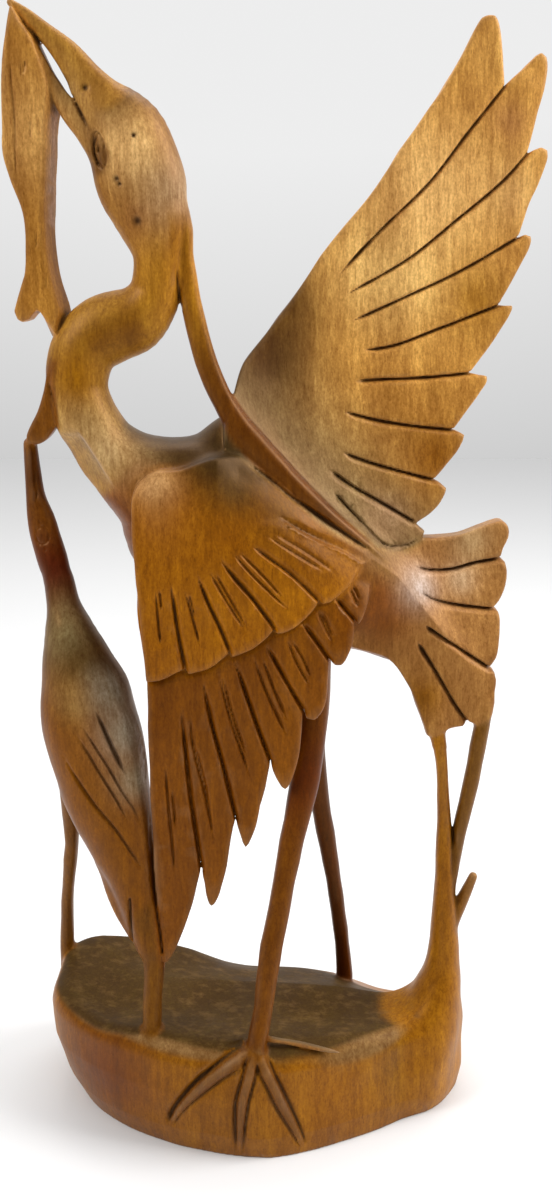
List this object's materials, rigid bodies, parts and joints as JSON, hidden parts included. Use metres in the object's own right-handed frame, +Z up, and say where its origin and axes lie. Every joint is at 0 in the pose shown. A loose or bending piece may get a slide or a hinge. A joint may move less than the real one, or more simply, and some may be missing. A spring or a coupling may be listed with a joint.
{
  "type": "carved wooden stork",
  "caption": "Carved hardwood stork with raised wing and fish in its beak, a chick beside it and a reed behind, on a rounded base cut from the same block.",
  "frame": {"origin": "centre of the base's length on the underside, on the surface that it stands on", "axes": "+Z up; the adult's beak points to -X; the viewer of the carved front side stands at -Y"},
  "size_m": [0.2833, 0.153, 0.6103],
  "materials": {
    "varnished_wood": "satin varnish over brown-stained close-grained hardwood, darker in the cuts"
  },
  "bodies": {
    "root": {"stork_carving": "varnished_wood"}
  },
  "joints": []
}
